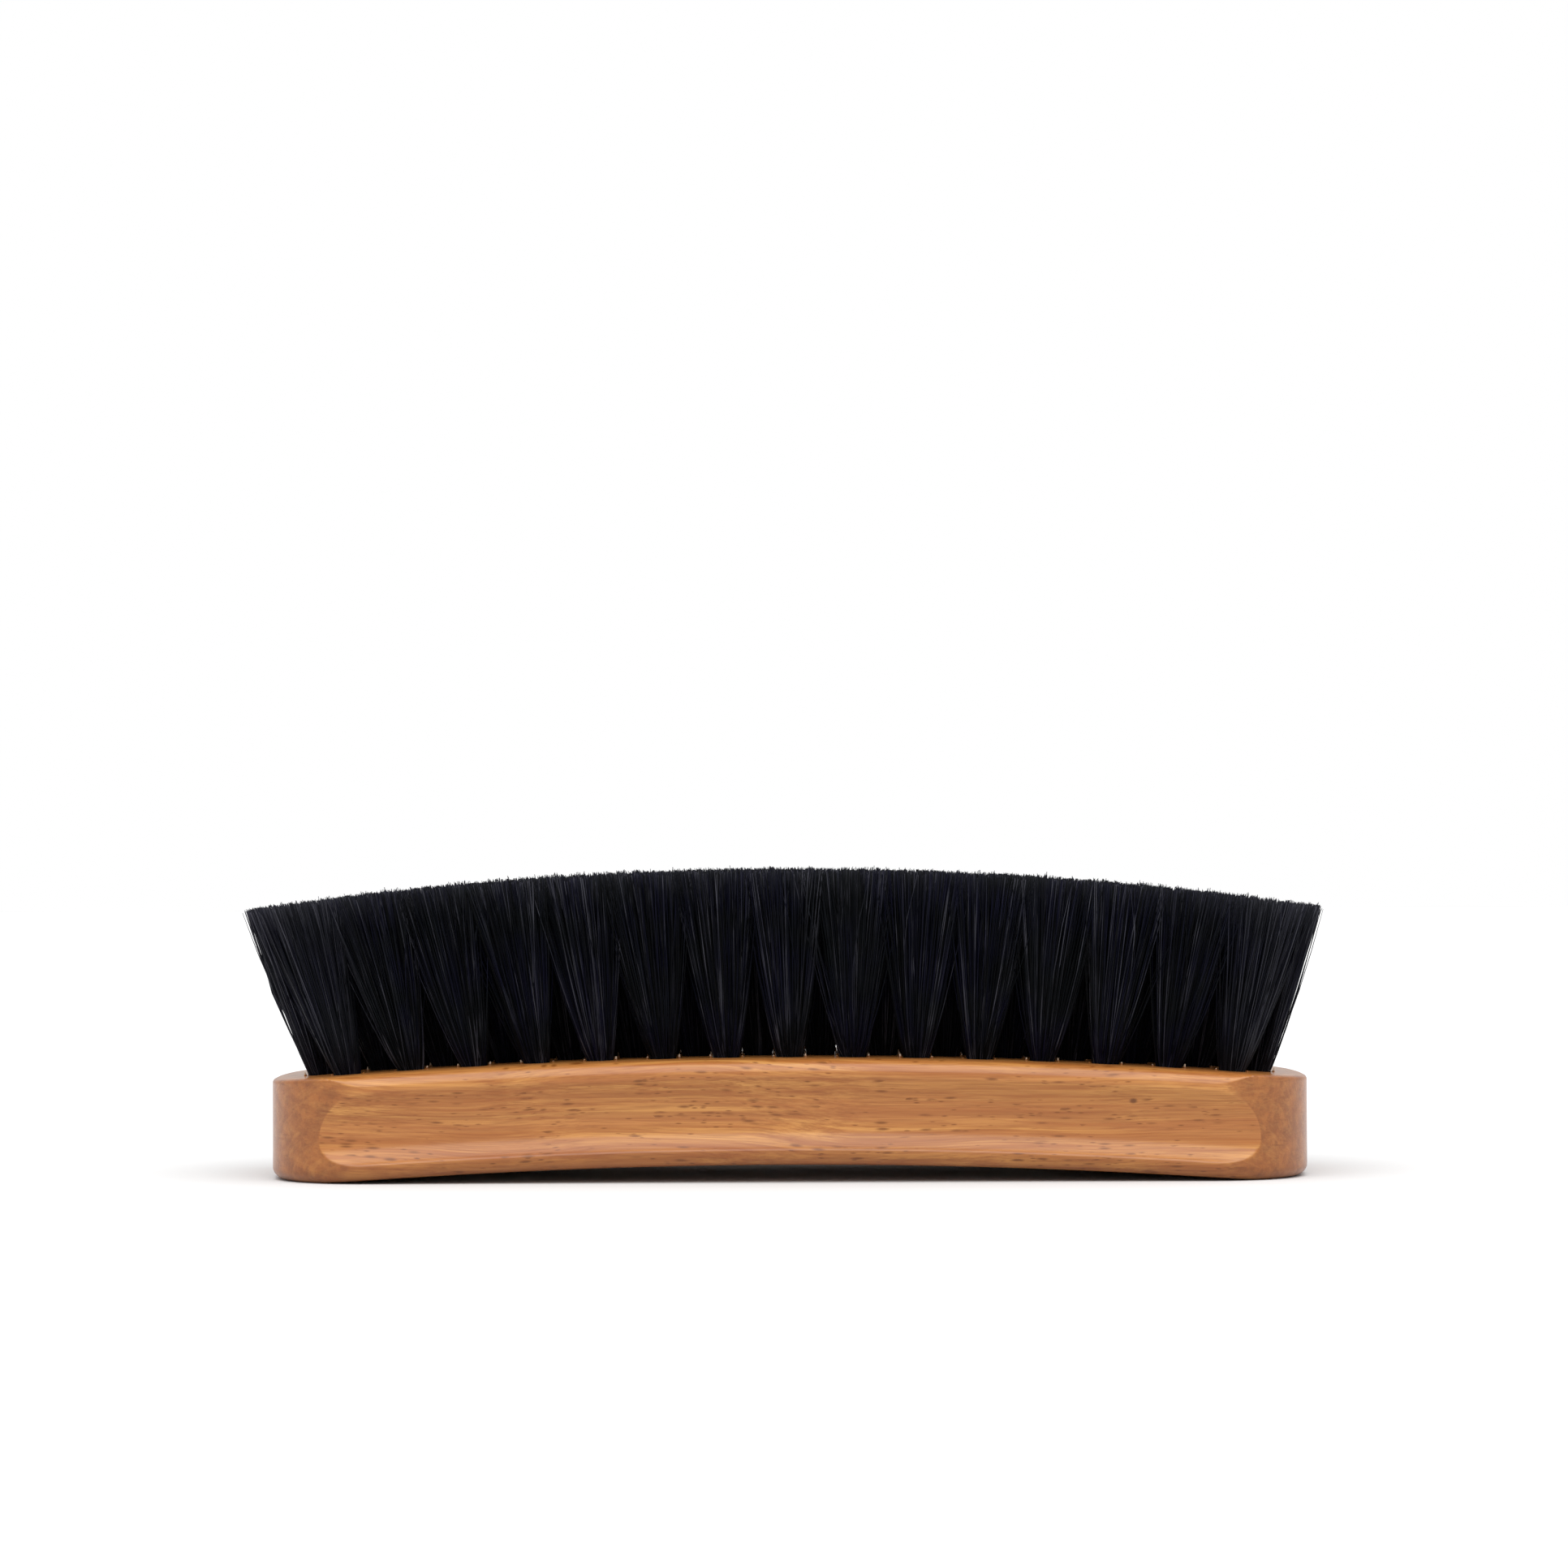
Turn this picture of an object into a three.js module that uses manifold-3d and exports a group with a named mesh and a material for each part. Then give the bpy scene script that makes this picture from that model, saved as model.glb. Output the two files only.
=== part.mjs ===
// A clothes brush that lies on its back: an arched beech block, moulded along both long
// sides, with five staggered rows of trimmed horsehair tufts standing in its face.
// Millimetres and degrees, +X along the block, +Z up. The origin is on the surface that
// the block rests on, under the middle of the block.
import * as THREE from 'three';
import { mergeVertices } from 'three/addons/utils/BufferGeometryUtils.js';
import Module from 'manifold-3d';

const wasm = await Module();
wasm.setup();

// Block
const BLOCK_LENGTH = 170;
const BLOCK_WIDTH = 54;
const BLOCK_THICKNESS = 17; // from the face straight down to the back
const ARCH_RADIUS = 1000; // of the face and of the back, along the block
const ARCH_RISE = 2.8; // height of the hollow under the middle of the back
const CORNER_RADIUS = 17; // of the four corners in plan
const END_RADIUS = 98; // of the slightly bowed ends in plan
const BACK_EDGE_RADIUS = 2.4; // of the edge all round the back

// Moulding along the long sides, in depths below the face
const FACE_ROUND_RADIUS = 2.6; // of the edge between the face and a long side
const COVE_TOP = 2.9; // where the finger groove starts
const COVE_FLOOR = 10.2; // where it is deepest
const COVE_BOTTOM = 14.5; // where it comes out again
const COVE_DEPTH = 2.1; // how far it cuts into the side
const UPPER_FLANK_BEND = 6.2; // height of the control point that shapes its upper flank
const LOWER_FLANK_BEND = 12.9; // the same for its lower flank

// Tufts
const ROWS = 5;
const LONG_ROW_TUFTS = 16; // the rows between them hold one fewer and stand half a pitch over
const END_MARGIN = 8.3; // from an end of the block to the centre of the nearest tuft
const SIDE_MARGIN = 10; // from a long side to the centre line of the outer row
const HOLE_DIAMETER = 4.7;
const HOLE_DEPTH = 10;
const TUFT_CLEARANCE = 0.3; // between a tuft and its hole, beside and below it
const TUFT_GAP = 0.4; // between two tufts that meet
const BRISTLE_HEIGHT = 30; // above the face, at the middle of the block
const TRIM_RADIUS = 620; // of the trimmed tips, along the block
const END_LEAN = 13.1; // how far the last tufts of a long row lean outwards
const SIDE_LEAN = 7.5; // how far the outer rows lean outwards
const FAN_ANGLE = 10.8; // half the angle that one tuft spreads by
const FAN_START = 1; // height above the face where a tuft begins to spread

// Facets
const ARC_SEGMENTS = 6; // three.js makes twice as many in an arc
const EDGE_SEGMENTS = 3;
const CUT_STEPS = 12;
const TUFT_SIDES = 8;
const OVERCUT = 1; // how far a cutting shape runs past what it cuts

const FACE_HEIGHT = ARCH_RISE + BLOCK_THICKNESS;
const TIP_HEIGHT = FACE_HEIGHT + BRISTLE_HEIGHT;
const LAST_TUFT_X = BLOCK_LENGTH / 2 - END_MARGIN;
const OUTER_ROW_Y = BLOCK_WIDTH / 2 - SIDE_MARGIN;
const TUFT_PITCH = (2 * LAST_TUFT_X) / (LONG_ROW_TUFTS - 1);
const ROW_PITCH = (2 * OUTER_ROW_Y) / (ROWS - 1);
const TRIM_END = BLOCK_LENGTH; // past the tips of the last tufts

const radians = THREE.MathUtils.degToRad;

// How far an arc has dropped at x from its highest point, and the height of the face there.
const drop = (radius, x) => radius - Math.sqrt(radius ** 2 - x ** 2);
const faceHeightAt = (x) => FACE_HEIGHT - drop(ARCH_RADIUS, x);

// ---- Solids ----

function toSolid(geometry) {
  const bare = geometry.clone();
  bare.deleteAttribute('normal');
  bare.deleteAttribute('uv');
  const merged = mergeVertices(bare);
  const corners = merged.index.array;
  const triangles = [];
  for (let i = 0; i < corners.length; i += 3) {
    const [a, b, c] = corners.slice(i, i + 3);
    if (a !== b && b !== c && c !== a) triangles.push(a, b, c);
  }
  return new wasm.Manifold(new wasm.Mesh({
    numProp: 3,
    vertProperties: Float32Array.from(merged.attributes.position.array),
    triVerts: Uint32Array.from(triangles),
  }));
}

function toGeometry(solid) {
  const { vertProperties, triVerts } = solid.getMesh();
  const geometry = new THREE.BufferGeometry();
  geometry.setAttribute('position', new THREE.BufferAttribute(vertProperties, 3));
  geometry.setIndex(new THREE.BufferAttribute(triVerts, 1));
  geometry.computeVertexNormals();
  return geometry;
}

// Moves every vertex by a rule that gives its new place.
function reshape(geometry, rule) {
  const places = geometry.attributes.position;
  const place = new THREE.Vector3();
  for (let i = 0; i < places.count; i += 1) {
    rule(place.fromBufferAttribute(places, i));
    places.setXYZ(i, place.x, place.y, place.z);
  }
  return geometry;
}

// An outline in (x, z), drawn out across the block.
function acrossBlock(outline, width) {
  const geometry = new THREE.ExtrudeGeometry(outline, {
    depth: width, bevelEnabled: false, curveSegments: ARC_SEGMENTS,
  });
  return geometry.translate(0, 0, -width / 2).rotateX(Math.PI / 2);
}

// An outline in (y, height above the face), drawn out along the block. It follows the arch.
function alongBlock(outline) {
  const length = BLOCK_LENGTH + 2 * OVERCUT;
  const geometry = new THREE.ExtrudeGeometry(outline, {
    depth: length, steps: CUT_STEPS, bevelEnabled: false, curveSegments: EDGE_SEGMENTS,
  });
  geometry.translate(0, 0, -length / 2);
  geometry.applyMatrix4(new THREE.Matrix4().makeBasis(
    new THREE.Vector3(0, 1, 0), new THREE.Vector3(0, 0, 1), new THREE.Vector3(1, 0, 0),
  ));
  return reshape(geometry, (place) => {
    place.z += faceHeightAt(place.x);
  });
}

// ---- Block ----

// The block from the side: an arched face over an arched back with a flat land at each end.
function sideOutline() {
  const end = BLOCK_LENGTH / 2 + OVERCUT;
  const archAngle = Math.acos(1 - ARCH_RISE / ARCH_RADIUS);
  const landStart = ARCH_RADIUS * Math.sin(archAngle);
  const faceAngle = Math.asin(end / ARCH_RADIUS);
  const outline = new THREE.Shape();
  outline.moveTo(-end, 0);
  outline.lineTo(-landStart, 0);
  outline.absarc(0, ARCH_RISE - ARCH_RADIUS, ARCH_RADIUS,
    Math.PI / 2 + archAngle, Math.PI / 2 - archAngle, true);
  outline.lineTo(end, 0);
  outline.absarc(0, FACE_HEIGHT - ARCH_RADIUS, ARCH_RADIUS,
    Math.PI / 2 - faceAngle, Math.PI / 2 + faceAngle, false);
  return outline;
}

// The block from above: straight sides, round corners and bowed ends, all tangent.
function planOutline() {
  const cornerY = BLOCK_WIDTH / 2 - CORNER_RADIUS;
  const bowX = BLOCK_LENGTH / 2 - END_RADIUS;
  const reach = END_RADIUS - CORNER_RADIUS;
  const meet = Math.asin(cornerY / reach);
  const cornerX = bowX + reach * Math.cos(meet);
  const quarter = Math.PI / 2;
  const outline = new THREE.Shape();
  outline.moveTo(-cornerX, -BLOCK_WIDTH / 2);
  for (const side of [1, -1]) {
    const turn = side > 0 ? 0 : Math.PI;
    outline.absarc(side * cornerX, -side * cornerY, CORNER_RADIUS, turn - quarter, turn - meet);
    outline.absarc(side * bowX, 0, END_RADIUS, turn - meet, turn + meet);
    outline.absarc(side * cornerX, side * cornerY, CORNER_RADIUS, turn + meet, turn + quarter);
  }
  return outline;
}

function planSolid() {
  const geometry = new THREE.ExtrudeGeometry(planOutline(), {
    depth: FACE_HEIGHT,
    bevelThickness: BACK_EDGE_RADIUS,
    bevelSize: BACK_EDGE_RADIUS,
    bevelOffset: -BACK_EDGE_RADIUS,
    bevelSegments: EDGE_SEGMENTS,
    curveSegments: EDGE_SEGMENTS,
  });
  return toSolid(geometry.translate(0, 0, BACK_EDGE_RADIUS));
}

// What is cut off the edge of the face.
function faceEdgeOutline() {
  const side = BLOCK_WIDTH / 2;
  const outline = new THREE.Shape();
  outline.absarc(side - FACE_ROUND_RADIUS, -FACE_ROUND_RADIUS, FACE_ROUND_RADIUS,
    Math.PI / 2, 0, true);
  outline.lineTo(side + OVERCUT, -FACE_ROUND_RADIUS);
  outline.lineTo(side + OVERCUT, OVERCUT);
  outline.lineTo(side - FACE_ROUND_RADIUS, OVERCUT);
  return outline;
}

// The finger groove: a long upper flank and a shorter, steeper lower one.
function coveOutline() {
  const side = BLOCK_WIDTH / 2;
  const floor = side - COVE_DEPTH;
  const outline = new THREE.Shape();
  outline.moveTo(side, -COVE_TOP);
  outline.quadraticCurveTo(floor, -UPPER_FLANK_BEND, floor, -COVE_FLOOR);
  outline.quadraticCurveTo(floor, -LOWER_FLANK_BEND, side, -COVE_BOTTOM);
  outline.lineTo(side + OVERCUT, -COVE_BOTTOM);
  outline.lineTo(side + OVERCUT, -COVE_TOP);
  return outline;
}

// What is cut off the edge of the back, between the lands.
function backEdgeOutline() {
  const side = BLOCK_WIDTH / 2;
  const back = -BLOCK_THICKNESS;
  const outline = new THREE.Shape();
  outline.absarc(side - BACK_EDGE_RADIUS, back + BACK_EDGE_RADIUS, BACK_EDGE_RADIUS,
    0, -Math.PI / 2, true);
  outline.lineTo(side - BACK_EDGE_RADIUS, back - OVERCUT);
  outline.lineTo(side + OVERCUT, back - OVERCUT);
  outline.lineTo(side + OVERCUT, back + BACK_EDGE_RADIUS);
  return outline;
}

function mouldings() {
  const cuts = [faceEdgeOutline(), coveOutline(), backEdgeOutline()].map(alongBlock);
  const bothSides = cuts.flatMap((cut) => [cut, cut.clone().rotateZ(Math.PI)]);
  return bothSides.map(toSolid);
}

// ---- Tufts ----

// Which way a tuft at (x, y) on the face points: it leans outwards, and more so the
// further it is from the middle of the block.
function leanOf(x, y) {
  return new THREE.Vector3(
    (x / LAST_TUFT_X) * Math.tan(radians(END_LEAN)),
    (y / OUTER_ROW_Y) * Math.tan(radians(SIDE_LEAN)),
    1,
  );
}

// A round shape made along +Y, with y = 0 at the face, set where a tuft stands.
function onFace(geometry, { x, y }) {
  const up = new THREE.Vector3(0, 1, 0);
  const turn = new THREE.Quaternion().setFromUnitVectors(up, leanOf(x, y).normalize());
  return geometry.applyQuaternion(turn).translate(x, y, faceHeightAt(x));
}

function holeSolid(tuft) {
  const depth = HOLE_DEPTH + OVERCUT;
  const radius = HOLE_DIAMETER / 2;
  const hole = new THREE.CylinderGeometry(radius, radius, depth, TUFT_SIDES);
  return toSolid(onFace(hole.translate(0, OVERCUT - depth / 2, 0), tuft));
}

// One tuft before its neighbours press on it: a round bundle that spreads above the face.
function bundleSolid(tuft) {
  const radius = HOLE_DIAMETER / 2 - TUFT_CLEARANCE;
  const foot = TUFT_CLEARANCE - HOLE_DEPTH;
  const top = 2 * BRISTLE_HEIGHT;
  const spread = radius + (top - FAN_START) * Math.tan(radians(FAN_ANGLE));
  const profile = [
    [0, foot], [radius, foot], [radius, FAN_START], [spread, top], [0, top],
  ].map(([r, height]) => new THREE.Vector2(r, height));
  return toSolid(onFace(new THREE.LatheGeometry(profile, TUFT_SIDES), tuft));
}

// The room that a run of neighbouring tufts has between all the others. In plan it is a
// row of six-sided cells, which fit against those of the next rows.
function cellSolid(tufts) {
  const gap = TUFT_GAP / 2;
  const half = TUFT_PITCH / 2;
  const peak = (ROW_PITCH * 2) / 3;
  const slope = (peak - ROW_PITCH / 3) / half;
  const inset = gap * Math.hypot(1, slope);
  const middle = (tufts[0].x + tufts.at(-1).x) / 2;
  const end = tufts.length * half;
  const edge = [[end - gap, peak - inset - slope * (half - gap)]];
  for (let i = tufts.length - 1; i >= 0; i -= 1) {
    edge.push([tufts[i].x - middle, peak - inset]);
    if (i > 0) edge.push([tufts[i].x - middle - half, peak - inset - slope * half]);
  }
  edge.push([gap - end, edge[0][1]]);
  const mirrored = edge.toReversed().map(([x, y]) => [x, -y]);
  const outline = new THREE.Shape([...edge, ...mirrored].map(([x, y]) => (
    new THREE.Vector2(middle + x, tufts[0].y + y)
  )));
  const geometry = new THREE.ExtrudeGeometry(outline, {
    depth: TIP_HEIGHT + OVERCUT, bevelEnabled: false,
  });
  return toSolid(reshape(geometry, (place) => {
    const lean = leanOf(place.x, place.y);
    place.addScaledVector(lean.setZ(0), place.z - faceHeightAt(place.x));
  }));
}

// Everything below the trimmed tips.
function trimSolid() {
  const angle = Math.asin(TRIM_END / TRIM_RADIUS);
  const outline = new THREE.Shape();
  outline.moveTo(-TRIM_END, -OVERCUT);
  outline.lineTo(TRIM_END, -OVERCUT);
  outline.absarc(0, TIP_HEIGHT - TRIM_RADIUS, TRIM_RADIUS,
    Math.PI / 2 - angle, Math.PI / 2 + angle, false);
  return toSolid(acrossBlock(outline, 2 * BLOCK_WIDTH));
}

// The tufts of one row, each with its place and its number in the row.
function rowTufts(row) {
  const long = row % 2 === 0;
  const count = long ? LONG_ROW_TUFTS : LONG_ROW_TUFTS - 1;
  const first = -((count - 1) * TUFT_PITCH) / 2;
  const y = -OUTER_ROW_Y + (row - 1) * ROW_PITCH;
  return Array.from({ length: count }, (_, i) => ({
    x: first + i * TUFT_PITCH, y, row, number: i + 1,
  }));
}

// The tufts round the outside of the field stand alone. Those inside it are made in
// neighbouring pairs, and an odd one out stands alone.
function rowRuns(tufts) {
  const { row } = tufts[0];
  if (row === 1 || row === ROWS) return tufts.map((tuft) => [tuft]);
  const inner = tufts.slice(1, -1);
  const runs = [[tufts[0]]];
  for (let i = 0; i < inner.length; i += 2) runs.push(inner.slice(i, i + 2));
  return [...runs, [tufts.at(-1)]];
}

// ---- The brush ----

function blockMesh(tufts) {
  const side = toSolid(acrossBlock(sideOutline(), BLOCK_WIDTH + 2 * OVERCUT));
  const cuts = [...mouldings(), ...tufts.map(holeSolid)];
  const block = cuts.reduce((solid, cut) => solid.subtract(cut), planSolid().intersect(side));
  const beech = new THREE.MeshStandardMaterial({
    color: '#cc9260', roughness: 0.45, metalness: 0,
  });
  const mesh = new THREE.Mesh(toGeometry(block), beech);
  mesh.name = 'block';
  return mesh;
}

function runMesh(run, trim) {
  const bundles = run.map(bundleSolid);
  const joined = bundles.reduce((solid, bundle) => solid.add(bundle));
  const shape = joined.intersect(cellSolid(run)).intersect(trim);
  const horsehair = new THREE.MeshStandardMaterial({
    color: '#121315', roughness: 0.55, metalness: 0,
  });
  const mouth = new THREE.Vector3(run[0].x, run[0].y, faceHeightAt(run[0].x));
  const geometry = toGeometry(shape).translate(-mouth.x, -mouth.y, -mouth.z);
  const mesh = new THREE.Mesh(geometry, horsehair);
  mesh.position.copy(mouth);
  const numbers = run.map(({ number }) => String(number).padStart(2, '0'));
  mesh.name = `${run.length > 1 ? 'tufts' : 'tuft'}_row${run[0].row}_${numbers.join('_')}`;
  return mesh;
}

const rows = Array.from({ length: ROWS }, (_, i) => rowTufts(i + 1));
const trim = trimSolid();

const brush = new THREE.Group();
brush.add(blockMesh(rows.flat()));
for (const row of rows) {
  const group = new THREE.Group();
  group.add(...rowRuns(row).map((run) => runMesh(run, trim)));
  brush.add(group);
}

export default brush;
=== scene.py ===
"""A beech and horsehair clothes brush that lies on its back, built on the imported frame."""
import math

import bmesh
import bpy
import numpy as np
from mathutils import Euler, Matrix, Vector


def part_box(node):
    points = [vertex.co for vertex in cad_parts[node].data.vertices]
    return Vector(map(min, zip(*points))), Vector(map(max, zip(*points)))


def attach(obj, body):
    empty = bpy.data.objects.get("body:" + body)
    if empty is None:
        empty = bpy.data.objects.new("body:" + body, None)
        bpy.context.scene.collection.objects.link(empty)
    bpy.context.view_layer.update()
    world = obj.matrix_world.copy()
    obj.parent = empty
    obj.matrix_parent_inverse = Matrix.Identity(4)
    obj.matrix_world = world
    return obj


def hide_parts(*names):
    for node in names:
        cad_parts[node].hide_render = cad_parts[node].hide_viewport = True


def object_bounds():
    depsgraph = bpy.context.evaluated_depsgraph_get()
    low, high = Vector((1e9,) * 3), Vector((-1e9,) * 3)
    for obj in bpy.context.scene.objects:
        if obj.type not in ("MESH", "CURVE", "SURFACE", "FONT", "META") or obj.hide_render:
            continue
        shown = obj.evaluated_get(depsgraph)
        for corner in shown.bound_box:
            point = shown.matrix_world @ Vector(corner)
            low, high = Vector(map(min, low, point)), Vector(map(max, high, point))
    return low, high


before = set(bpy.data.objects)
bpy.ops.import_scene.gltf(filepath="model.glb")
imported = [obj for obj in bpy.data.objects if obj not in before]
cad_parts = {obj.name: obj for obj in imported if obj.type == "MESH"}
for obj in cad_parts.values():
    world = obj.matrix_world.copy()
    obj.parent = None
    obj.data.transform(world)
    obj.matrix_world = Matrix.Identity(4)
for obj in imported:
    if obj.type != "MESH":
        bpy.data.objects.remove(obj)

cad_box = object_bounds()
block_low, block_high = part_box("block")

# Lengths are in millimetres and angles in degrees. MM turns them into Blender's metres.
MM = 0.001

# Sizes read from the frame
LENGTH = (block_high.x - block_low.x) / MM
WIDTH = (block_high.y - block_low.y) / MM
FACE_HEIGHT = block_high.z / MM  # of the face, in the middle of the block
TIP_HEIGHT = cad_box[1][2] / MM  # of the bristle tips, in the middle of the block

# The block, with the same sizes as its CAD solid
THICKNESS = 17
ARCH_RADIUS = 1000
ARCH_RISE = FACE_HEIGHT - THICKNESS
CORNER_RADIUS = 17
END_RADIUS = 98
BACK_EDGE_RADIUS = 2.4
FACE_EDGE_RADIUS = 0.6  # the eased edge of the face at the two ends
FACE_ROUND_RADIUS = 2.6
COVE_TOP = 2.9
COVE_FLOOR = 10.2
COVE_BOTTOM = 14.5
COVE_DEPTH = 2.1
UPPER_FLANK_BEND = 6.2
LOWER_FLANK_BEND = 12.9
SANDING = 0.1  # how softly the moulding runs out into the ends
SHARP_ANGLE = 40  # a harder edge than this isn't shaded smooth

# The tufts
LONG_ROW_TUFTS = 16
ROWS = 5
END_MARGIN = 8.3
SIDE_MARGIN = 10
HOLE_RADIUS = 2.35
HOLE_DEPTH = 10
TRIM_RADIUS = 620
END_LEAN = 13.1
SIDE_LEAN = 7.5

LAST_TUFT_X = LENGTH / 2 - END_MARGIN
OUTER_ROW_Y = WIDTH / 2 - SIDE_MARGIN
TUFT_PITCH = 2 * LAST_TUFT_X / (LONG_ROW_TUFTS - 1)
ROW_PITCH = 2 * OUTER_ROW_Y / (ROWS - 1)
SPREAD_X = math.tan(math.radians(END_LEAN)) / LAST_TUFT_X
SPREAD_Y = math.tan(math.radians(SIDE_LEAN)) / OUTER_ROW_Y

# The hair
STRANDS = 480  # in one tuft
STRAND_RADIUS = 0.095
STRAND_SIDES = 3
FOOT_CLEARANCE = 0.22  # from the middle of the outermost strands to the hole's wall
FOLD_HEIGHT = 0.8  # where the strands start, above the bottom of the hole
LEVELS = np.array([0, 0.04, 0.12, 0.28, 0.5, 0.75, 1])  # shares of the way from face to tip
FANNING = 0.8  # below 1, a tuft opens fastest at its foot
MIXING = 2.2  # how far the tufts' tips mix
CROSSING = 0.16  # how far a foot is from its place among the others, in radii of the hole
TRIES = 40  # places that are tried for each strand's tip
TRY_REACH = 1.2  # how far from the middle of the tuft they are, in pitches
FIELD_CORNER = 16  # how round the field of tips is at its corners
FRINGE = 0.9  # how deep the hair is that would lean out past the edge of that field
FRAYING = 0.35  # how far single hairs stand in or out of that edge
THICKNESSES = (0.75, 1.2)  # of the thinnest and the thickest strand, in STRAND_RADIUS
TIP_THICKNESS = 0.6  # of a strand's tip, against the rest of it
STRANDS_PER_CLUMP = 5
CLUMPING = 0.35  # how far the tips in a clump are drawn together
WAVE = 0.25  # how far a strand bends out of its straight line
TIP_WAVE = 0.5  # the share of that which its tip moves
STRAY_SHARE = 0.07  # of the strands that don't keep to their places
STRAY_WAVE = 1.0
STRAY_FOOT = 0.7  # how far out the foot of a stray strand may stand, in radii of the hole
COMBED = -0.9  # how far the tips are brushed over, along the block
TRIM_UNEVENNESS = 0.25  # of the tips, up and down
LONG_SHARE = 0.05  # of the strands that the shears have missed
LONG_TIP = 0.45  # how much longer they are at most

# Splinters that the drill has lifted at the holes, on the two sides where it leaves the grain
SPLINTER_HEIGHTS = (0.35, 0.9)
SPLINTER_RADIUS = 0.3
SPLINTER_DISTANCE = 0.2  # outside the hole's wall
SPLINTER_ROOT = 0.2  # the part that is sunk in the face
SPLINTER_SIDESTEP = 0.4  # how far they stand to one side of the hole's middle
SPLINTER_LEAN = 0.4  # radians, the most that one leans away from its hole or over it

# The anchors, flat wire that holds the fold of each tuft
ANCHOR_LENGTH = 4.5
ANCHOR_THICKNESS = 0.35
ANCHOR_DEPTH = 1.8
ANCHOR_LIFT = 0.4  # above the bottom of the hole
ANCHOR_EDGE = 0.08  # how round its edges are

# The colours of the wood, with painted shade for the lip and painted light for the splinters
LIGHT_BEECH = (0.55, 0.254, 0.064, 1)
DEEP_BEECH = (0.355, 0.123, 0.026, 1)
PINK_BEECH = (0.385, 0.129, 0.03, 1)
BROWN_BEECH = (0.225, 0.063, 0.011, 1)
END_BEECH = (0.31, 0.099, 0.018, 1)
END_BROWN = (0.18, 0.05, 0.009, 1)
# Raw wood: paler than the finished face, and lightened further as painted light, so the splinters
# stay pale in the shade of the hair
RAW_BEECH_AND_PAINTED_LIGHT = (0.72, 0.58, 0.44, 1)
RAY = (0.19, 0.058, 0.006, 1)
LIP_PAINTED_SHADE = (0.77, 0.69, 0.61, 1)  # painted shade: what the colour is multiplied by towards the bottom, over the lower flank and the lip
KNOT = (0.14, 0.042, 0.005, 1)

# The figure of the wood
PIN_KNOT = (55, -25.6, 12.9)
KNOT_STRETCH = (1, 0.4, 1.4)  # a stretch above 1 makes the knot narrower that way
HEART = (34, -62)  # Y and Z of the middle of the tree that the block was cut from
RING_WIDTH = 3.1
RAY_FINENESS = 160  # the rays in one radian round the heart, about
LONG_DASHES = (0.28, 0.12, 1.4)  # cells for each millimetre along X, Y and Z
SHORT_DASHES = (0.5, 0.25, 2.4)
DASH_SHARE = 0.24  # of the cells that have a dash
DASH_STRENGTH = 0.95
END_STRENGTH = 0.75  # how far the two ends take the colour of end grain

# The colours of the hair, with painted light for the end tufts and painted highlight for single
# strands
BLACK_HAIR = (0.0015, 0.0018, 0.0022, 1)
BLUE_HAIR = (0.0034, 0.0035, 0.013, 1)
GREY_HAIR = (0.003, 0.004, 0.0055, 1)
# Painted light: the colour that the open tufts at the two ends are lightened towards
END_HAIR_PAINTED_LIGHT = (0.014, 0.0145, 0.021, 1)
# Painted highlight: lighter strands that stand in for glints along single hairs
HAIR_PAINTED_HIGHLIGHT = (0.05, 0.05, 0.062, 1)

# The camera
CAMERA_DISTANCE = 800
CAMERA_HEIGHT = 52
CAMERA_X = -0.75
CAMERA_PITCH = 0.877
CAMERA_ROLL = -0.22
LENS = 110.9

# The stage: a pale floor, an even sky, and a wide soft lamp
FLOOR_SIZE = 8000
FLOOR_GREY = 0.64
SKY_STRENGTH = 0.82
LAMP_STRENGTH = 3.4
LAMP_ANGLE = 80
LAMP_TILT = 20


# ---- Helpers ----

def drop(radius, x):
    """How far an arc of this radius has dropped at x from its highest point."""
    return radius - np.sqrt(radius ** 2 - np.square(x))


def face_height(x):
    return FACE_HEIGHT - drop(ARCH_RADIUS, x)


def back_height(x):
    return np.maximum(0, ARCH_RISE - drop(ARCH_RADIUS, x))


def link(name, mesh):
    piece = bpy.data.objects.new(name, mesh)
    bpy.context.scene.collection.objects.link(piece)
    return piece


def mesh_of(name, points, *faces):
    """A smooth mesh from an array of points in millimetres and one or more arrays of faces,
    each with as many columns as its faces have corners."""
    mesh = bpy.data.meshes.new(name)
    corners = np.concatenate([part.ravel() for part in faces]).astype(np.int32)
    sizes = np.concatenate([np.full(len(part), part.shape[1]) for part in faces])
    starts = np.cumsum(sizes) - sizes
    mesh.vertices.add(len(points))
    mesh.vertices.foreach_set("co", (points * MM).astype(np.float32).ravel())
    mesh.loops.add(len(corners))
    mesh.loops.foreach_set("vertex_index", corners)
    mesh.polygons.add(len(sizes))
    mesh.polygons.foreach_set("loop_start", starts.astype(np.int32))
    mesh.polygons.foreach_set("use_smooth", np.ones(len(sizes), bool))
    mesh.update(calc_edges=True)
    mesh.validate()
    return mesh


def put_on(piece, material):
    """Dresses a piece, names its slot in the record and fixes it to the brush."""
    piece.data.materials.clear()
    piece.data.materials.append(material)
    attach(piece, "root")


# ---- Materials ----

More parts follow.
